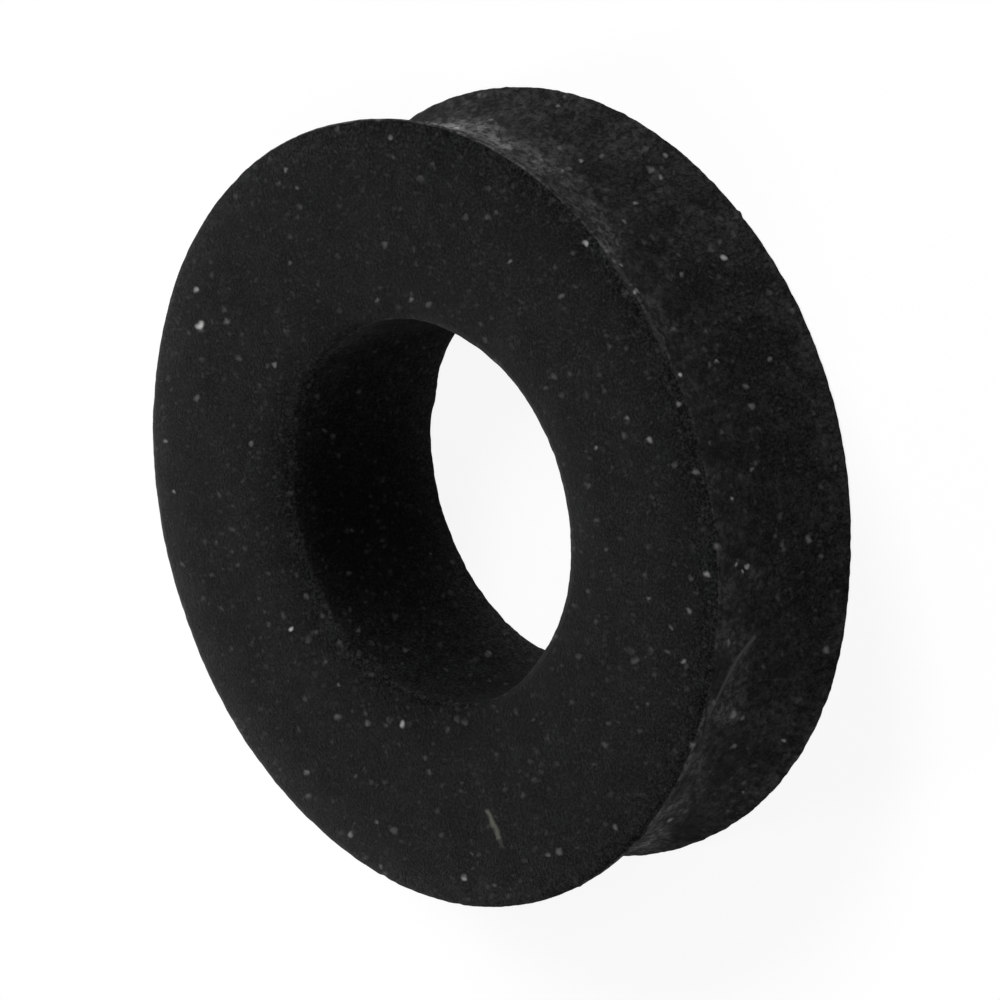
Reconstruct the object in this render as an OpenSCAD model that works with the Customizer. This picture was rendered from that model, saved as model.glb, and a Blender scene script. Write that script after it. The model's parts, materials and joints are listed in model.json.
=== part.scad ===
// Flat rubber washer, 1/2 x 1/4 x 1/8 inch: one die-cut ring, lying on its back face.
// Units are millimetres. The bore's axis is Z, and the back face lies on Z = 0.

/* [Ring] */

// Outside diameter, halfway between the wider front rim and the narrower back rim
outer_d = 12.7; // [10:0.05:25]

// Diameter of the bore
bore_d = 6.25; // [3:0.05:8.5]

// Thickness, from the back face to the front face
thickness = 3.175; // [1.5:0.025:6]

/* [Outer wall] */

// How much wider the front rim is than the back rim, across the diameter
taper = 0.2; // [0:0.05:0.6]

// Depth of the waist that the die leaves round the wall, from the rims inwards
waist_depth = 0.35; // [0.1:0.05:0.7]

/* [Edges] */

// Rounding radius of the two outer rims
rim_round = 0.05; // [0.02:0.01:0.2]

// Rounding radius of the bore's two edges
bore_round = 0.06; // [0.02:0.01:0.3]

/* [Hidden] */

$fn = 180;

bore_r = bore_d / 2;
front_r = (outer_d + taper / 2) / 2;
back_r = (outer_d - taper / 2) / 2;

// Centres of the four edge roundings in the ring's section, as [radius, height]
front_rim = [front_r - rim_round, thickness - rim_round];
back_rim = [back_r - rim_round, rim_round];
front_mouth = [bore_r + bore_round, thickness - bore_round];
back_mouth = [bore_r + bore_round, bore_round];

// The waist is one arc through the widest points of both rims
rim_span = norm(front_rim - back_rim);
waist_r = (pow(waist_depth, 2) + pow(rim_span / 2, 2)) / (2 * waist_depth);
outward = [front_rim[1] - back_rim[1], back_rim[0] - front_rim[0]] / rim_span;
widest = (front_rim + back_rim) / 2 + [rim_round, 0];
waist_centre = widest + (waist_r - waist_depth) * outward;

// Point of a rim's rounding that faces the waist's centre, where the waist cuts it away
function facing_waist(rim) = rim + rim_round * (waist_centre - rim) / norm(waist_centre - rim);

module edge_rounding(centre, radius) {
    translate(centre)
        circle(r = radius);
}

// Half of the ring's section, to the right of the bore's axis
module section() {
    difference() {
        union() {
            polygon([
                [bore_r, back_mouth[1]],
                [back_mouth[0], 0],
                [back_rim[0], 0],
                facing_waist(back_rim),
                facing_waist(front_rim),
                [front_rim[0], thickness],
                [front_mouth[0], thickness],
                [bore_r, front_mouth[1]]
            ]);
            edge_rounding(back_mouth, bore_round);
            edge_rounding(front_mouth, bore_round);
            edge_rounding(back_rim, rim_round);
            edge_rounding(front_rim, rim_round);
        }
        translate(waist_centre)
            circle(r = waist_r);
    }
}

module washer() {
    color([0.13, 0.13, 0.13])
        rotate_extrude()
            section();
}

washer();
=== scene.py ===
"""Looks of the rubber flat washer: one die-cut ring of matt black rubber with dust on it.

Blender works in metres. The ring's sizes and the places of its dust are in millimetres.
Angles go round the bore's axis from +X towards +Y, in degrees. The front face is the upper one.
"""

import json
import math

import bpy
from mathutils import Matrix, Vector, noise


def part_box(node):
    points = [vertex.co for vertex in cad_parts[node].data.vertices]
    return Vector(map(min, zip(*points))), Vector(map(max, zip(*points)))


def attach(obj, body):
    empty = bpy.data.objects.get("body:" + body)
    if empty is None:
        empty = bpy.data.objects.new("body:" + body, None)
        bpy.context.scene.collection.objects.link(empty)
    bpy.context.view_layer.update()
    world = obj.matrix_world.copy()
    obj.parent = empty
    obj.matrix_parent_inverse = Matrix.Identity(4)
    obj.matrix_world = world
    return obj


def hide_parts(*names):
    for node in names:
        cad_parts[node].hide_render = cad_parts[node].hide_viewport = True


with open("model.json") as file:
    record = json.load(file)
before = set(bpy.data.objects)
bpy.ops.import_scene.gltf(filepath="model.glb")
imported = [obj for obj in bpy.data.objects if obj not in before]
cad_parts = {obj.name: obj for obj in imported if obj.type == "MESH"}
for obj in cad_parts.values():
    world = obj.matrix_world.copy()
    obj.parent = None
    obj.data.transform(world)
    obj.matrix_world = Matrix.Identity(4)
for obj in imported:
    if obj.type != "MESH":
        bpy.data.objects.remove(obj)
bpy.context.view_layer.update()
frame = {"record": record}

MM = 0.001
NODE = "washer"

# ---------------------------------------------------------------- sizes from the frame

low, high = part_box(NODE)
mounts = {mount["name"]: mount for mount in frame["record"]["mounts"]}

THICKNESS = (high[2] - low[2]) / MM
FRONT_R = (high[0] - low[0]) / 2 / MM
BORE_R = mounts["bore"]["dims"]["r_mm"]
MIDDLE_R = (BORE_R + FRONT_R) / 2

# How much further out the front rim is than the back rim
TAPER = 0.1
BACK_R = FRONT_R - TAPER

# The ring's centre, in metres
CENTRE = Vector((0, 0, (low[2] + high[2]) / 2))

# ---------------------------------------------------------------- the ring's section

RIM_ROUND = 0.05
MOUTH_ROUND = 0.06
WAIST_DEPTH = 0.35

# The front face is a little crowned, as the die pulls its edges down
CROWN_RISE = 0.035
CROWN_FALL = 0.06

FACE_STEPS = 20
WALL_STEPS = 26
BORE_STEPS = 16
ROUND_STEPS = 5
SEGMENTS = 920


def arc(centre, radius, start, end, steps):
    """Points on an arc, with both ends, between two angles in degrees."""
    angles = [math.radians(start + (end - start) * i / steps) for i in range(steps + 1)]
    return [(centre[0] + radius * math.cos(a), centre[1] + radius * math.sin(a)) for a in angles]


def waist(edge):
    """The outer wall from the front rim, at a height, down to the back rim: one hollow arc."""
    front = Vector((FRONT_R, edge - RIM_ROUND))
    back = Vector((BACK_R, RIM_ROUND))
    span = front - back
    radius = (WAIST_DEPTH**2 + (span.length / 2) ** 2) / (2 * WAIST_DEPTH)
    outward = Vector((span.y, -span.x)).normalized()
    centre = (front + back) / 2 + (radius - WAIST_DEPTH) * outward
    start = math.degrees(math.atan2(front.y - centre.y, front.x - centre.x)) % 360
    end = math.degrees(math.atan2(back.y - centre.y, back.x - centre.x)) % 360
    return arc(centre, radius, start, end, WALL_STEPS)


def crowned(radius):
    """Height of the front face."""
    share = (radius - MIDDLE_R) / (FRONT_R - MIDDLE_R)
    return THICKNESS + CROWN_RISE - CROWN_FALL * share**4


def face(inner, outer, height):
    """A face from the bore to the rim, with its points closer together near both edges."""
    points = []
    for i in range(1, FACE_STEPS):
        share = (1 - math.cos(math.pi * i / FACE_STEPS)) / 2
        radius = inner + (outer - inner) * share
        points.append((radius, height(radius)))
    return points


def section():
    """The whole outline as (radius, height), from the bore's front mouth round by the rim."""
    mouth = BORE_R + MOUTH_ROUND
    edge = crowned(FRONT_R)
    outline = arc((mouth, edge - MOUTH_ROUND), MOUTH_ROUND, 180, 90, ROUND_STEPS)
    outline += face(mouth, FRONT_R - RIM_ROUND, crowned)
    outline += arc((FRONT_R - RIM_ROUND, edge - RIM_ROUND), RIM_ROUND, 90, 0, ROUND_STEPS)
    outline += waist(edge)[1:-1]
    outline += arc((BACK_R - RIM_ROUND, RIM_ROUND), RIM_ROUND, 0, -90, ROUND_STEPS)
    outline += reversed(face(mouth, BACK_R - RIM_ROUND, lambda radius: 0))
    outline += arc((mouth, MOUTH_ROUND), MOUTH_ROUND, 270, 180, ROUND_STEPS)
    deep = edge - 2 * MOUTH_ROUND
    for i in range(1, BORE_STEPS):
        outline.append((BORE_R, MOUTH_ROUND + deep * i / BORE_STEPS))
    return outline


# ---------------------------------------------------------------- out of round, as cut rubber is

# Each swell is (angle, half width in degrees, height); a dent has a height below 0
FRONT_RIM_SWELLS = [
    (82, 20, -0.07), (128, 9, 0.015), (200, 45, 0.015), (185, 7, -0.015), (250, 20, 0.04),
]
BACK_RIM_SWELLS = [
    (-87, 16, -0.035), (-27, 14, -0.055), (10, 20, 0.03), (80, 14, -0.02), (103, 8, 0.01),
]
FRONT_MOUTH_SWELLS = [(-58, 13, -0.045), (55, 20, -0.045)]
BACK_MOUTH_SWELLS = [
    (228, 8, 0.015), (130, 8, 0.02), (145, 4, -0.035), (157, 7, 0.02), (192, 10, -0.01),
]

# Nicks and burrs, in the same form, only reach the edge itself
FRONT_RIM_NICKS = [
    (236.4, 0.6, 0.02), (237.6, 0.5, -0.03), (253, 0.5, -0.02), (278.6, 0.5, 0.045),
]
BACK_RIM_NICKS = [(29.4, 0.5, -0.015), (30.4, 0.5, 0.05), (-60, 1.5, -0.015)]
FRONT_MOUTH_NICKS = [(6, 1.2, 0.03), (11, 1.0, 0.018)]
BACK_MOUTH_NICKS = [(178, 1.5, 0.015), (199.5, 0.8, 0.018), (220, 0.8, 0.018)]

# The four edges, as (radius, height, swells, nicks)
EDGES = [
    (FRONT_R, THICKNESS, FRONT_RIM_SWELLS, FRONT_RIM_NICKS),
    (BACK_R, 0, BACK_RIM_SWELLS, BACK_RIM_NICKS),
    (BORE_R, THICKNESS, FRONT_MOUTH_SWELLS, FRONT_MOUTH_NICKS),
    (BORE_R, 0, BACK_MOUTH_SWELLS, BACK_MOUTH_NICKS),
]
# How far the nicks and the raggedness reach from an edge
EDGE_REACH = 0.07

# Every edge is ragged: fractal noise, as (exponent, lacunarity, octaves)
RAGGED_HEIGHT = 0.02
RAGGED_PER_MM = 5
RAGGED_FRACTAL = (1, 2, 4)

# The ring's height is uneven, and most of all at the front face
UNEVEN_HEIGHT = 0.004
UNEVEN_PER_MM = 1.3


def swell(angle, shapes):
    """Sum of the swells at an angle, each one a smooth hump."""
    total = 0
    for centre, width, height in shapes:
        away = (angle - centre + 180) % 360 - 180
        total += height * math.exp(-((away / width) ** 2))
    return total


def edge_shares(radius, height):
    """How much of each edge's swells, then of its nicks, a point of the section takes."""
    outer = min(1, max(0, (radius - BORE_R) / (BACK_R - BORE_R)))
    upper = min(1, max(0, height / THICKNESS))
    inner, lower = 1 - outer, 1 - upper
    broad = [outer * upper, outer * lower, inner * upper, inner * lower]
    sharp = []
    for edge_radius, edge_height, _, _ in EDGES:
        away = math.hypot(radius - edge_radius, height - edge_height)
        sharp.append(math.exp(-away / EDGE_REACH))
    return broad, sharp


def ring_points(outline):
    """Vertex places in metres, one turn of SEGMENTS points for each point of the section."""
    shares = [edge_shares(*point) for point in outline]
    shapes = []
    for i in range(SEGMENTS):
        angle = 360 * i / SEGMENTS
        shapes.append(
            [(swell(angle, swells), swell(angle, nicks)) for _, _, swells, nicks in EDGES]
        )
    places = []
    for (radius, height), (broad, sharp) in zip(outline, shares):
        for i in range(SEGMENTS):
            turn = 2 * math.pi * i / SEGMENTS
            way = Vector((math.cos(turn), math.sin(turn), 0))
            there = way * radius + Vector((0, 0, height))
            rough = noise.fractal(there * RAGGED_PER_MM, *RAGGED_FRACTAL)
            out = radius + RAGGED_HEIGHT * max(sharp) * rough
            for b, s, (broad_height, sharp_height) in zip(broad, sharp, shapes[i]):
                out += b * broad_height + s * sharp_height
            uneven = noise.noise(there * UNEVEN_PER_MM)
            up = height + UNEVEN_HEIGHT * (height / THICKNESS) * uneven
            places.append((way * out + Vector((0, 0, up))) * MM)
    return places


# The flat layout that the looks are baked on. Both faces are discs, the outer wall is two
# strips, and the bore is one strip
FLAT_MM = 1 / 25.9
FLAT_FRONT_X, FLAT_BACK_X, FLAT_DISC_Y = 0.25, 0.75, 0.25
FLAT_STRIP_X = 0.01
FLAT_WALL_Y = (0.52, 0.68)
FLAT_BORE_Y = 0.84


def flat_place(lengths, row, i, way, across):
    """Place in the flat layout of one corner of a quad, which starts at a row and a segment."""
    rim = 2 * ROUND_STEPS + FACE_STEPS
    foot = rim + WALL_STEPS
    mouth = foot + 2 * ROUND_STEPS + FACE_STEPS
    run = lengths[row + way]
    if row < rim or foot <= row < mouth:
        front = row < rim
        turn = 2 * math.pi * (i + across) / SEGMENTS
        radius = BORE_R + (run if front else lengths[mouth] - run)
        x = radius * math.cos(turn) * (1 if front else -1)
        y = radius * math.sin(turn)
        middle = FLAT_FRONT_X if front else FLAT_BACK_X
        return middle + x * FLAT_MM, FLAT_DISC_Y + y * FLAT_MM
    if row < foot:
        half = SEGMENTS // 2
        share = (i % half + across) / half
        x = math.pi * FRONT_R * share
        return FLAT_STRIP_X + x * FLAT_MM, FLAT_WALL_Y[i // half] + (lengths[foot] - run) * FLAT_MM
    share = 1 - (i + across) / SEGMENTS
    x = 2 * math.pi * BORE_R * share
    return FLAT_STRIP_X + x * FLAT_MM, FLAT_BORE_Y + (run - lengths[mouth]) * FLAT_MM


def lay_flat(mesh, outline):
    """Adds the flat layout to the ring's mesh."""
    lengths = [0]
    for here, there in zip(outline, outline[1:] + outline[:1]):
        lengths.append(lengths[-1] + math.dist(here, there))
    corners = []
    for row in range(len(outline)):
        for i in range(SEGMENTS):
            for way, across in [(0, 0), (1, 0), (1, 1), (0, 1)]:
                corners.extend(flat_place(lengths, row, i, way, across))
    mesh.uv_layers.new(name="OFBake").data.foreach_set("uv", corners)


def build_ring():
    """The whole ring as one closed mesh of quads."""
    outline = section()
    faces = []
    for row in range(len(outline)):
        here = row * SEGMENTS
        there = (row + 1) % len(outline) * SEGMENTS
        for i in range(SEGMENTS):
            j = (i + 1) % SEGMENTS
            faces.append((here + i, there + i, there + j, here + j))
    mesh = bpy.data.meshes.new("rubber_ring")
    mesh.from_pydata(ring_points(outline), [], faces)
    mesh.polygons.foreach_set("use_smooth", [True] * len(faces))
    lay_flat(mesh, outline)
    mesh.update()
    ring = bpy.data.objects.new("rubber_ring", mesh)
    bpy.context.scene.collection.objects.link(ring)
    return ring


# ---------------------------------------------------------------- shader helper


class Graph:
    """Adds shader nodes to one tree. Inputs may be plain values or another node's output."""

    def __init__(self, tree):
        self.tree = tree
        tree.nodes.clear()

    def node(self, kind, inputs=None, **settings):
        """A node with its settings, and its inputs by name or number."""
        made = self.tree.nodes.new(kind)
        for name, value in settings.items():
            setattr(made, name, value)
        for name, value in (inputs or {}).items():
            if isinstance(value, bpy.types.NodeSocket):
                self.tree.links.new(value, made.inputs[name])
            else:
                made.inputs[name].default_value = value
        return made

    def math(self, operation, *values, clamp=False):
        inputs = dict(enumerate(values))
        return self.node("ShaderNodeMath", inputs, operation=operation, use_clamp=clamp).outputs[0]

    def vector_math(self, operation, *values, output=0):
        """Output 0 is a vector, and output 1 is a number."""
        inputs = dict(enumerate(values))
        return self.node("ShaderNodeVectorMath", inputs, operation=operation).outputs[output]

    def scaled(self, vector, factor):
        inputs = {"Vector": vector, "Scale": factor}
        return self.node("ShaderNodeVectorMath", inputs, operation="SCALE").outputs[0]

    def part(self, vector, axis):
        """One number of a vector or colour: 0, 1 or 2."""
        return self.node("ShaderNodeSeparateXYZ", {0: vector}).outputs[axis]

    def ramp(self, value, start, end, low=0.0, high=1.0):
        """Goes smoothly from low to high as the value goes from start to end."""
        inputs = {"Value": value, "From Min": start, "From Max": end, "To Min": low, "To Max": high}
        return self.node("ShaderNodeMapRange", inputs, interpolation_type="SMOOTHSTEP").outputs[0]

    def noise(self, point, per_mm, detail, roughness):
        inputs = {"Vector": point, "Scale": per_mm, "Detail": detail, "Roughness": roughness}
        return self.node("ShaderNodeTexNoise", inputs).outputs[0]

    def swing(self, value, factor, base):
        """Goes above and below a base as a noise goes above and below its middle."""
        return self.math("MULTIPLY_ADD", self.math("SUBTRACT", value, 0.5), factor, base)

    def mix(self, share, first, second):
        """The first colour where the share is 0, and the second where it is 1."""
        inputs = {0: share, 6: first, 7: second}
        return self.node("ShaderNodeMix", inputs, data_type="RGBA").outputs[2]


# ---------------------------------------------------------------- where the dust lies

# Dust stands up from the rubber. It is drawn out this way, so that it looks round from there
SLANT = Vector((0.74, 0, 0.67))
DRAWN_OUT = 0.6

# The inner part of a grain's or a fibre's radius that is as dense as its middle
GRAIN_CORE = 0.1
FIBRE_CORE = 0.2

# Grains that lie on the front face, as (angle, distance from the axis, radius, cover)
FACE_GRAINS = [
    (136, 5.6, 0.1, 1.0),
    (131, 5.9, 0.07, 0.5),
    (197, 4.1, 0.07, 1.0),
    (238, 3.7, 0.07, 0.6),
    (255, 5.95, 0.07, 0.45),
    (33, 6.2, 0.07, 0.6),
    (340, 6.15, 0.07, 0.4),
    (1.5, 5.4, 0.07, 0.35),
    (3.5, 4.15, 0.06, 0.28),
    (325, 5.8, 0.07, 0.28),
    (166, 5.95, 0.06, 0.42),
    (158, 6.05, 0.06, 0.28),
    (45, 4.85, 0.06, 0.27),
    (153, 4.05, 0.06, 0.26),
    (230, 6.05, 0.07, 0.3),
    (100, 5.95, 0.05, 0.25),
    (131, 3.9, 0.06, 0.24),
    (5, 6.25, 0.06, 0.24),
    (31.5, 5.1, 0.07, 0.2),
    (218, 5.7, 0.06, 0.23),
    (75.5, 6.05, 0.06, 0.23),
    (257.5, 5.55, 0.06, 0.2),
    (333, 4.9, 0.06, 0.22),
    (109, 4.7, 0.06, 0.22),
    (6.5, 5.05, 0.06, 0.2),
    (275, 5.75, 0.06, 0.2),
    (73.5, 3.45, 0.06, 0.2),
    (333.5, 5.8, 0.06, 0.2),
    (215.5, 3.9, 0.06, 0.2),
    (99, 5.6, 0.06, 0.2),
    (86.5, 3.45, 0.06, 0.17),
    (291.5, 6.0, 0.06, 0.17),
    (235, 5.55, 0.06, 0.17),
    (329.5, 5.45, 0.06, 0.16),
    (261.5, 6.05, 0.06, 0.16),
    (237, 6.25, 0.06, 0.16),
    (52.5, 5.3, 0.07, 0.14),
]

# Grains on the outer wall, as (angle, height above the back face, radius, cover)
WALL_GRAINS = [
    (25, 0.7, 0.07, 0.5),
    (22.5, 3.05, 0.08, 0.5),
    (9, 3.0, 0.06, 0.8),
    (27, 3.0, 0.06, 0.3),
    (-21, 2.15, 0.06, 0.42),
    (-20, 2.5, 0.05, 0.4),
    (-21.5, 2.3, 0.05, 0.38),
    (-10, 2.45, 0.06, 0.42),
    (-54.5, 0.45, 0.06, 0.5),
    (-67, 0.5, 0.05, 0.3),
    (51, 1.45, 0.06, 0.27),
    (42, 0.6, 0.06, 0.25),
    (39, 1.4, 0.06, 0.24),
    (10, 1.85, 0.05, 0.3),
    (73, 1.95, 0.11, 0.9),
    (84, 1.4, 0.07, 0.4),
    (73, 1.2, 0.06, 0.3),
    (-46.5, 1.9, 0.11, 0.28),
    (-48, 1.6, 0.07, 0.2),
    (-54, 1.5, 0.08, 0.2),
    (-73, 1.6, 0.1, 0.35),
    (-71, 1.4, 0.1, 0.12),
    (53.5, 2.1, 0.06, 0.25),
    (49.5, 2.05, 0.06, 0.22),
    (45, 0.25, 0.06, 0.2),
    (66, 0.4, 0.06, 0.2),
    (88, 1.15, 0.07, 0.35),
    (-22.5, 0.55, 0.06, 0.18),
    (-7, 1.8, 0.06, 0.18),
    (24.5, 1.6, 0.06, 0.18),
    (36, 1.95, 0.06, 0.18),
    (-1.5, 2.75, 0.06, 0.17),
    (8, 0.8, 0.06, 0.16),
]

# Grains in the bore, in the same form
BORE_GRAINS = [
    (209, 2.85, 0.06, 0.12),
    (231, 0.95, 0.05, 0.15),
    (192, 0.6, 0.05, 0.1),
    (179, 2.05, 0.05, 0.08),
]

# A short fibre on the front face, as (places by angle and distance from the axis, radius, cover)
FACE_FIBRES = [
    ([(263.0, 4.86), (264.2, 5.11), (264.75, 5.28)], 0.07, 0.215),
    ([(264.75, 5.3), (265.2, 5.46)], 0.06, 0.06),
]

# A hair and thin lines on the outer wall, as (places by angle and height, radius, cover)
WALL_LINES = [
    ([(-43, 2.85), (-39, 2.55), (-35.5, 2.25), (-33, 1.85)], 0.06, 0.095),
    ([(30, 3.1), (26, 3.1), (22, 3.1)], 0.09, 0.028),
    ([(18, 3.12), (15.5, 3.12), (13, 3.12)], 0.07, 0.024),
    ([(-43, 2.85), (-47, 2.75), (-53, 2.8)], 0.07, 0.04),
]

# Bands where the wall's dust lies thickest, in the same form
WALL_BANDS = [
    ([(88, 1.15), (85, 1.4), (82, 1.6)], 0.14, 0.2),
    ([(82, 1.6), (79, 1.75), (73, 2.0)], 0.22, 0.11),
    ([(82, 1.1), (73, 1.7), (60, 2.1)], 0.6, 0.045),
    ([(73, 2.0), (65, 2.3), (56, 2.3)], 0.5, 0.034),
    ([(56, 2.3), (45, 2.5), (33, 2.8), (8, 3.0)], 0.5, 0.028),
    ([(-72, 1.9), (-78, 1.7), (-90, 0.8)], 0.6, 0.1),
    ([(-66, 2.0), (-50, 2.1), (-36, 2.35), (-22, 2.3)], 0.5, 0.024),
]

# Loose dust strewn everywhere, as (cells per mm, radius, cover, rarity)
FINE_DUST = [(7.6, 0.05, 0.036, 0.8), (4.4, 0.065, 0.09, 2.0)]
COARSE_DUST = (2.5, 0.08, 0.18, 3.0)

# The bore lacks this share of the coarse dust, and the wall has this much more of both kinds
BORE_LACKS = 0.6
WALL_MORE = 0.1


def on_face(angle, radius):
    """A place on the front face, in mm."""
    turn = math.radians(angle)
    return Vector((radius * math.cos(turn), radius * math.sin(turn), THICKNESS))


def on_wall(angle, height):
    """A place on the outer wall, in mm. The wall is hollow half way up."""
    turn = math.radians(angle)
    level = height / THICKNESS
    radius = BACK_R + TAPER * level - WAIST_DEPTH * 4 * level * (1 - level)
    return Vector((radius * math.cos(turn), radius * math.sin(turn), height))


def in_bore(angle, height):
    """A place in the bore, in mm."""
    turn = math.radians(angle)
    return Vector((BORE_R * math.cos(turn), BORE_R * math.sin(turn), height))


def drawn_out(place):
    """A place in mm, moved as the dust's coordinates are."""
    return place - DRAWN_OUT * place.project(SLANT)


def grain_at(g, point, centre, radius, cover):
    """Share of the surface that one grain of dust hides, round a centre."""
    away = g.vector_math("DISTANCE", point, drawn_out(centre), output=1)
    return g.ramp(away, radius * GRAIN_CORE, radius, cover, 0)


def strand(g, point, start, end, radius, cover):
    """Share of the surface that a straight piece of fibre hides."""
    run = drawn_out(end - start)
    offset = g.vector_math("SUBTRACT", point, drawn_out(start))
    along = g.vector_math("DOT_PRODUCT", offset, run, output=1)
    along = g.math("DIVIDE", along, run.length_squared, clamp=True)
    away = g.vector_math("DISTANCE", offset, g.scaled(run, along), output=1)
    return g.ramp(away, radius * FIBRE_CORE, radius, cover, 0)


def strands(g, point, places, radius, cover):
    """A bent fibre, or a line of dust, through a list of places."""
    total = 0
    for start, end in zip(places, places[1:]):
        total = g.math("MAXIMUM", total, strand(g, point, start, end, radius, cover))
    return total


def scatter(g, point, per_mm, radius, cover, rarity):
    """Grains strewn at random. A higher rarity leaves more of them faint."""
    cells = g.node("ShaderNodeTexVoronoi", {"Vector": point, "Scale": per_mm, "Randomness": 1})
    reach = radius * per_mm
    shape = g.ramp(cells.outputs["Distance"], reach * GRAIN_CORE, reach, 1, 0)
    chance = g.part(cells.outputs["Color"], 0)
    size = g.math("MULTIPLY", g.math("POWER", chance, rarity), cover)
    return g.math("MULTIPLY", shape, size)


def loose_dust(g, near, wall, bore):
    """Dust strewn everywhere, as a share of the surface that it hides."""
    fine = g.math("ADD", *[scatter(g, near, *layer) for layer in FINE_DUST])
    coarse = scatter(g, near, *COARSE_DUST)
    coarse = g.math("MULTIPLY", coarse, g.math("MULTIPLY_ADD", bore, -BORE_LACKS, 1))
    more = g.math("MULTIPLY_ADD", wall, WALL_MORE, 1)
    return g.math("MULTIPLY", g.math("ADD", fine, coarse), more)


def placed_dust(g, near, flat, dust_and_light):
    """Adds the grains and the lines that lie where they fell."""
    places = [(on_face(a, r), size, cover) for a, r, size, cover in FACE_GRAINS]
    places += [(on_wall(a, z), size, cover) for a, z, size, cover in WALL_GRAINS]
    places += [(in_bore(a, z), size, cover) for a, z, size, cover in BORE_GRAINS]
    for centre, size, cover in places:
        dust_and_light = g.math("MAXIMUM", dust_and_light, grain_at(g, near, centre, size, cover))
    for line, size, cover in WALL_LINES:
        line = [on_wall(angle, z) for angle, z in line]
        dust_and_light = g.math("MAXIMUM", dust_and_light, strands(g, flat, line, size, cover))
    return dust_and_light


def lean_towards(g, way, angle, half_width):
    """1 in one direction round the axis, and falls to 0 at half_width degrees from it."""
    turn = math.radians(angle)
    lean = g.vector_math("DOT_PRODUCT", way, (math.cos(turn), math.sin(turn), 0), output=1)
    return g.ramp(lean, math.cos(math.radians(half_width)), 1)


# ---------------------------------------------------------------- dust that the sides hold, and painted light in the bore

# Noises, as (scale per mm, detail, roughness). Each has the limits between which it goes from
# thin to thick dust, and how much the dust gains there and has at its thinnest
CLOTS, CLOT_LIMITS, CLOT_DUST = (8, 2, 0.8), (0.36, 0.7), (1.5, 0.25)
DRIFTS, DRIFT_LIMITS, DRIFT_DUST = (1.5, 1, 0.5), (0.35, 0.65), (0.9, 0.55)

# Where the wall has more dust: near -Y, as (angle, half width), and towards +Y, as limits of the
# direction's Y, for the dust under the front rim and for the dust all over
LOW_END = (-66, 35)
HIGH_END = (0.55, 0.9)
HIGH_SIDE = (0.3, 0.8)

# Shares of the wall that dust hides: caught under the front rim, spread all over, and at the
# foot. The first two have what they gain near -Y and towards +Y
CAUGHT, CAUGHT_LOW, CAUGHT_HIGH = 0.024, 0.03, 0.06
SPREAD, SPREAD_LOW, SPREAD_HIGH = 0.008, 0.008, 0.006
FOOT = 0.012

# How far down from the front rim it reaches, how much further at +Y, and how sharply that rises
# towards +Y; and how far it reaches up from the foot
RIM_REACH, RIM_REACH_HIGH, REACH_POWER = 0.5, 0.9, 4
FOOT_REACH = 0.3

# In the bore, as (share, reach) at both edges, and (angle, half width) and share near +Y. The back
# edge and +Y get painted light, as of light let in by the back opening; the front edge gets dust
BORE_BACK_LIGHT = (0.035, 0.35)
BORE_FRONT_EDGE = (0.007, 0.3)
BORE_HIGH_LIGHT_END, BORE_HIGH_LIGHT = (95, 25), 0.027
BORE_GRAININESS = 4


def wall_dust(g, near, way, height):
    """Dust that has clotted on the outer wall, most of it under the front rim and near +Y."""
    upper = g.part(way, 1)
    lower = lean_towards(g, way, *LOW_END)
    clots = g.ramp(g.noise(near, *CLOTS), *CLOT_LIMITS)
    drifts = g.ramp(g.noise(near, *DRIFTS), *DRIFT_LIMITS)
    depth = g.math("SUBTRACT", THICKNESS, height)
    reach = g.math("POWER", g.math("MAXIMUM", upper, 0), REACH_POWER)
    reach = g.math("MULTIPLY_ADD", reach, RIM_REACH_HIGH, RIM_REACH)
    fall = g.math("EXPONENT", g.math("MULTIPLY", g.math("DIVIDE", depth, reach), -1))
    caught = g.math("MULTIPLY_ADD", g.ramp(upper, *HIGH_END), CAUGHT_HIGH, CAUGHT)
    caught = g.math("MULTIPLY_ADD", lower, CAUGHT_LOW, caught)
    spread = g.math("MULTIPLY_ADD", lower, SPREAD_LOW, SPREAD)
    spread = g.math("MULTIPLY_ADD", g.ramp(upper, *HIGH_SIDE), SPREAD_HIGH, spread)
    layer = g.math("MULTIPLY_ADD", caught, fall, spread)
    foot = g.math("EXPONENT", g.math("DIVIDE", height, -FOOT_REACH))
    layer = g.math("MULTIPLY_ADD", foot, FOOT, layer)
    for line, radius, cover in WALL_BANDS:
        band = strands(g, near, [on_wall(angle, z) for angle, z in line], radius, cover)
        layer = g.math("ADD", layer, band)
    layer = g.math("MULTIPLY", layer, g.math("MULTIPLY_ADD", drifts, *DRIFT_DUST))
    return g.math("MULTIPLY", layer, g.math("MULTIPLY_ADD", clots, *CLOT_DUST))


def bore_dust_and_light(g, way, height, grain):
    """Painted light at the bore's back edge and near +Y, and a little dust at its front edge, all
    grainy.
    """
    back_share, back_reach = BORE_BACK_LIGHT
    front_share, front_reach = BORE_FRONT_EDGE
    side = g.part(way, 0)
    back = g.math("EXPONENT", g.math("DIVIDE", height, -back_reach))
    front = g.math("SUBTRACT", height, THICKNESS)
    front = g.math("EXPONENT", g.math("DIVIDE", front, front_reach))
    front = g.math("MULTIPLY", front, g.math("MULTIPLY", side, side))
    held_dust_and_light = g.math("MULTIPLY_ADD", back, back_share, g.math("MULTIPLY", front, front_share))
    held_dust_and_light = g.math("MULTIPLY_ADD", lean_towards(g, way, *BORE_HIGH_LIGHT_END), BORE_HIGH_LIGHT, held_dust_and_light)
    return g.math("MULTIPLY", held_dust_and_light, g.swing(grain, BORE_GRAININESS, 1))


# ---------------------------------------------------------------- rubber

RUBBER = (0.0067, 0.0068, 0.0067, 1)
COOL_RUBBER = (0.006, 0.0068, 0.0066, 1)
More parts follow.
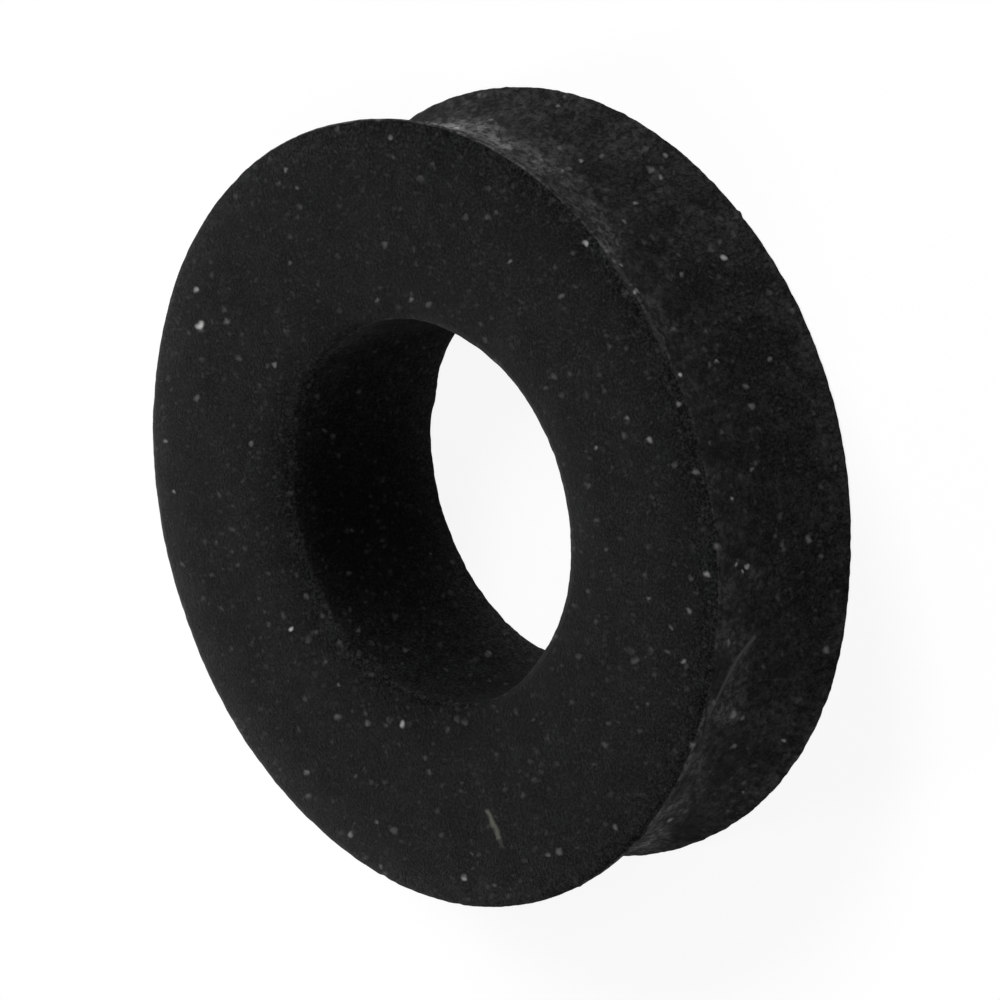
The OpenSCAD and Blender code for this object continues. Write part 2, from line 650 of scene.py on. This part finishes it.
# The pale colour of the dust, which also shows the bore's painted light
PALE_DUST_AND_LIGHT = (0.6, 0.6, 0.59, 1)
FIBRE = (0.465, 0.48, 0.39, 1)

# Noises, as (scale per mm, detail, roughness), and how much two of them change the tone
GRAIN, GRAIN_CONTRAST = (20, 2, 0.9), 9
PATCHES, PATCH_CONTRAST = (2.6, 2, 0.65), 1.9
COOL_PATCHES, COOL_LIMITS = (0.6, 1, 0.5), (0.35, 0.65)

# Painted shade at the bore's front mouth, as (angle, half width) and the change of tone, and
# where it begins and is full, from -1 at the bore to 1 at the rim
MOUTH_SHADE_LOW, MOUTH_SHADE_LOW_SHARE = (-85, 75), 0.36
MOUTH_SHADE_HIGH, MOUTH_SHADE_HIGH_SHARE = (72, 40), 0.2
MOUTH_SHADE_ACROSS = (-0.3, -0.9)
DUSTY, DUSTY_SHARE = (210, 60), 0.45
DUSTY_ACROSS = (-0.7, -0.95)

# Film near the rim, partly dust and partly painted light, and painted light it gains towards -X
RIM_DUST_AND_LIGHT, PAINTED_SIDE_LIGHT = 0.6, 0.07
# Painted light and shade in the bore: how much lighter than the face it is at its Y sides, and
# what it loses at its X sides
BORE_PAINTED_LIGHT, BORE_PAINTED_SHADE = 0.95, 1.35
DARKEST = 0.2

# How far the surface leans outward where a wall begins, and where it is all wall
WALL_LEAN = (0.4, 0.8)

# Noise that makes the outlines of the grains ragged, and how far it moves them
OUTLINE_PER_MM = 9
OUTLINE_SHIFT = 0.08

ROUGHNESS, ROUGHNESS_SWING = 0.8, 0.3
SPECULAR_LEVEL = 0.06
BUMP_STRENGTH = 0.7
BUMP_HEIGHT = 0.015


def mouth_shade_and_dust(g, way, across, bore):
    """Painted shade at the bore's front mouth on its Y sides, and dust at its edge near -X."""
    shade_and_dust = g.math("MULTIPLY", lean_towards(g, way, *MOUTH_SHADE_LOW), MOUTH_SHADE_LOW_SHARE)
    shade_and_dust = g.math("MULTIPLY_ADD", lean_towards(g, way, *MOUTH_SHADE_HIGH), MOUTH_SHADE_HIGH_SHARE, shade_and_dust)
    shade_and_dust = g.math("MULTIPLY", shade_and_dust, g.ramp(across, *MOUTH_SHADE_ACROSS))
    dusty = g.math("MULTIPLY", lean_towards(g, way, *DUSTY), g.ramp(across, *DUSTY_ACROSS))
    shade_and_dust = g.math("MULTIPLY_ADD", dusty, -DUSTY_SHARE, shade_and_dust)
    return g.math("MULTIPLY", shade_and_dust, g.math("SUBTRACT", 1, bore))


def rubber_tone(g, point, way, grain, wall, bore):
    """How light the rubber is, about 1: a fine grain, slow patches, a film of dust and painted
    light near the rim, painted shade and some dust at the bore's mouth, and painted light and shade
    in the bore.
    """
    tone = g.swing(grain, GRAIN_CONTRAST, 1)
    tone = g.swing(g.noise(point, *PATCHES), PATCH_CONTRAST, tone)
    # Across the face, from -1 at the bore to 1 at the rim
    across = g.vector_math("LENGTH", g.vector_math("MULTIPLY", point, (1, 1, 0)), output=1)
    across = g.math("DIVIDE", g.math("SUBTRACT", across, MIDDLE_R), FRONT_R - MIDDLE_R)
    side = g.vector_math("DOT_PRODUCT", way, (-1, 0, 0), output=1)
    # Dust and painted light near the rim, with painted light more on the -X side, by the left lamp
    outer = g.math("MAXIMUM", across, 0)
    outer = g.math("MULTIPLY", outer, outer)
    film_and_light = g.math("MULTIPLY_ADD", outer, RIM_DUST_AND_LIGHT, g.math("MULTIPLY", side, PAINTED_SIDE_LIGHT))
    film_and_light = g.math("MULTIPLY", g.math("MULTIPLY", film_and_light, outer), g.math("SUBTRACT", 1, wall))
    # Painted shade at the bore's mouth, less its dust near -X
    shade_and_dust = mouth_shade_and_dust(g, way, across, bore)
    tone = g.math("MULTIPLY", tone, g.math("SUBTRACT", g.math("ADD", film_and_light, 1), shade_and_dust))
    # Painted light and shade: the bore is lighter on its Y sides and darker on its X sides
    bore_light_and_shade = g.math("MULTIPLY", side, side)
    bore_light_and_shade = g.math("MULTIPLY_ADD", bore_light_and_shade, -BORE_PAINTED_SHADE, BORE_PAINTED_LIGHT)
    tone = g.math("MULTIPLY", tone, g.math("MULTIPLY_ADD", bore_light_and_shade, bore, 1))
    return g.math("MAXIMUM", tone, DARKEST)


def rubber_material():
    """Matt black rubber, with its dust, and with some light and shade painted into its colour."""
    material = bpy.data.materials.new("black_rubber")
    material.use_nodes = True
    g = Graph(material.node_tree)
    spot = g.node("ShaderNodeTexCoord")
    point = g.vector_math("MULTIPLY", spot.outputs["Object"], (1 / MM,) * 3)
    height = g.part(point, 2)
    way = g.vector_math("NORMALIZE", g.vector_math("MULTIPLY", point, (1, 1, 0)))
    outward = g.vector_math("DOT_PRODUCT", spot.outputs["Normal"], way, output=1)
    wall = g.ramp(outward, *WALL_LEAN)
    bore = g.ramp(outward, *[-lean for lean in WALL_LEAN])
    grain = g.noise(point, *GRAIN)

    # The wall is neutral, and the rest has cool patches
    cool = g.ramp(g.noise(point, *COOL_PATCHES), *COOL_LIMITS)
    cool = g.math("MULTIPLY", cool, g.math("SUBTRACT", 1, wall))
    rubber = g.mix(cool, RUBBER, COOL_RUBBER)
    rubber = g.scaled(rubber, rubber_tone(g, point, way, grain, wall, bore))

    # Coordinates of the dust, drawn out, and then with ragged outlines for its grains
    along = g.vector_math("PROJECT", point, SLANT)
    flat = g.vector_math("MULTIPLY_ADD", along, (-DRAWN_OUT,) * 3, point)
    outlines = {"Vector": flat, "Scale": OUTLINE_PER_MM, "Detail": 0}
    ragged = g.node("ShaderNodeTexNoise", outlines).outputs["Color"]
    ragged = g.vector_math("SUBTRACT", ragged, (0.5,) * 3)
    near = g.vector_math("MULTIPLY_ADD", ragged, (OUTLINE_SHIFT,) * 3, flat)

    dust_and_light = loose_dust(g, near, wall, bore)
    dust_and_light = g.math("MULTIPLY_ADD", wall_dust(g, near, way, height), wall, dust_and_light)
    # The bore's painted light at its back edge and near +Y, and its dust at the front edge
    dust_and_light = g.math("MULTIPLY_ADD", bore_dust_and_light(g, way, height, grain), bore, dust_and_light)
    dust_and_light = placed_dust(g, near, flat, dust_and_light)
    colour = g.mix(g.math("MINIMUM", dust_and_light, 1), rubber, PALE_DUST_AND_LIGHT)
    for line, size, cover in FACE_FIBRES:
        line = [on_face(angle, radius) for angle, radius in line]
        colour = g.mix(strands(g, near, line, size, cover), colour, FIBRE)

    relief = {"Height": grain, "Strength": BUMP_STRENGTH, "Distance": BUMP_HEIGHT * MM}
    shader = g.node(
        "ShaderNodeBsdfPrincipled",
        {
            "Base Color": colour,
            "Roughness": g.swing(grain, ROUGHNESS_SWING, ROUGHNESS),
            "Specular IOR Level": SPECULAR_LEVEL,
            "Normal": g.node("ShaderNodeBump", relief).outputs[0],
        },
    )
    g.node("ShaderNodeOutputMaterial", {"Surface": shader.outputs[0]})
    return material


# ---------------------------------------------------------------- floor, light and camera

FLOOR_HALF_SIZE = 3.0
FLOOR_GAP_MM = 0.01

# The floor's own white, next to the washer and further off, and the two distances, in metres
FLOOR_WHITE = (0.88, 1)
FLOOR_WHITE_AT = (0.04, 0.15)
# Grey that takes the lamps' light and the shadow, and grey that throws light back at the washer
FLOOR_LIT = (0.16, 0.16, 0.16, 1)
FLOOR_THROWN = (0.6, 0.6, 0.6, 1)

WHITE = (1, 1, 1, 1)
WORLD_LEVEL = 0.03

# Square lamps, as (name, direction from the washer, size in mm, level)
LAMP_DISTANCE_MM = 150
LAMPS = [
    ("left", (-1, 0, 0.09), 25, 1.0),
    ("above", (0, 0.66, 0.75), 60, 0.55),
    ("below", (0, -0.64, 0.77), 60, 0.12),
    ("front", (0.64, 0, 0.77), 60, 0.22),
    ("low_upper", (0.7, 0.7, 0.09), 25, 0.2),
    ("low_lower", (0.35, -0.94, 0.09), 25, 0.15),
]

LENS_MM = 500
SENSOR_MM = 36
CAMERA_DISTANCE_MM = 221.3
CAMERA_ELEVATION = 42.54
CAMERA_ROLL = -105.83
# Where the washer's centre is in the view, from the middle
CENTRE_RIGHT_MM, CENTRE_UP_MM = -0.006, 0.124


def floor_material():
    """White to the camera, with the washer's soft shadow; darker for the light that it throws."""
    material = bpy.data.materials.new("white_floor")
    material.use_nodes = True
    g = Graph(material.node_tree)
    seen = g.node("ShaderNodeLightPath").outputs["Is Camera Ray"]
    spot = g.node("ShaderNodeTexCoord").outputs["Object"]
    away = g.vector_math("LENGTH", spot, output=1)
    white = g.ramp(away, *FLOOR_WHITE_AT, *FLOOR_WHITE)
    glow = g.node("ShaderNodeEmission", {"Color": WHITE, "Strength": white})
    lit = g.node("ShaderNodeBsdfDiffuse", {"Color": FLOOR_LIT})
    thrown = g.node("ShaderNodeBsdfDiffuse", {"Color": FLOOR_THROWN})
    shown = g.node("ShaderNodeAddShader", {0: glow.outputs[0], 1: lit.outputs[0]})
    choices = {0: seen, 1: thrown.outputs[0], 2: shown.outputs[0]}
    both = g.node("ShaderNodeMixShader", choices)
    g.node("ShaderNodeOutputMaterial", {"Surface": both.outputs[0]})
    return material


def build_floor():
    """A wide floor just under the washer."""
    half = FLOOR_HALF_SIZE
    drop = low[2] - FLOOR_GAP_MM * MM
    mesh = bpy.data.meshes.new("floor")
    corners = [(-half, -half, drop), (half, -half, drop), (half, half, drop), (-half, half, drop)]
    mesh.from_pydata(corners, [], [(0, 1, 2, 3)])
    floor = bpy.data.objects.new("floor", mesh)
    mesh.materials.append(floor_material())
    bpy.context.scene.collection.objects.link(floor)


def build_world():
    """White to the camera, and a faint light from all sides."""
    world = bpy.data.worlds.new("studio")
    world.use_nodes = True
    g = Graph(world.node_tree)
    seen = g.node("ShaderNodeLightPath").outputs["Is Camera Ray"]
    strength = g.math("MAXIMUM", seen, WORLD_LEVEL)
    sky = g.node("ShaderNodeBackground", {"Color": WHITE, "Strength": strength})
    g.node("ShaderNodeOutputWorld", {"Surface": sky.outputs[0]})
    bpy.context.scene.world = world


def softbox(name, toward, size_mm, level):
    """A square lamp. A white card at the washer that faces it shows this level, and 1 is white."""
    lamp = bpy.data.lights.new(name, "AREA")
    lamp.size = size_mm * MM
    lamp.energy = level * (math.pi * LAMP_DISTANCE_MM * MM) ** 2
    holder = bpy.data.objects.new(name, lamp)
    away = Vector(toward).normalized()
    holder.location = CENTRE + away * LAMP_DISTANCE_MM * MM
    holder.rotation_euler = away.to_track_quat("Z", "Y").to_euler()
    holder.visible_camera = False
    bpy.context.scene.collection.objects.link(holder)


def build_camera():
    """Looks down on the washer from +X, through a long lens, and turned on its side."""
    camera = bpy.data.cameras.new("camera")
    camera.lens = LENS_MM
    camera.sensor_width = SENSOR_MM
    camera.clip_start = 0.01
    camera.clip_end = 20
    holder = bpy.data.objects.new("camera", camera)
    rise = math.radians(CAMERA_ELEVATION)
    toward = Vector((math.cos(rise), 0, math.sin(rise)))
    side = Vector((0, 1, 0))
    upward = toward.cross(side)
    roll = math.radians(CAMERA_ROLL)
    right = side * math.cos(roll) + upward * math.sin(roll)
    up = toward.cross(right)
    place = CENTRE + toward * CAMERA_DISTANCE_MM * MM
    place -= (right * CENTRE_RIGHT_MM + up * CENTRE_UP_MM) * MM
    turned = Matrix((right, up, toward)).transposed().to_4x4()
    holder.matrix_world = Matrix.Translation(place) @ turned
    bpy.context.scene.collection.objects.link(holder)
    bpy.context.scene.camera = holder


# ---------------------------------------------------------------- put together

ring = build_ring()
ring.data.materials.append(rubber_material())
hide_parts(NODE)
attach(ring, "root")

build_floor()
build_world()
for lamp in LAMPS:
    softbox(*lamp)
build_camera()
bpy.context.scene.view_settings.view_transform = "Standard"
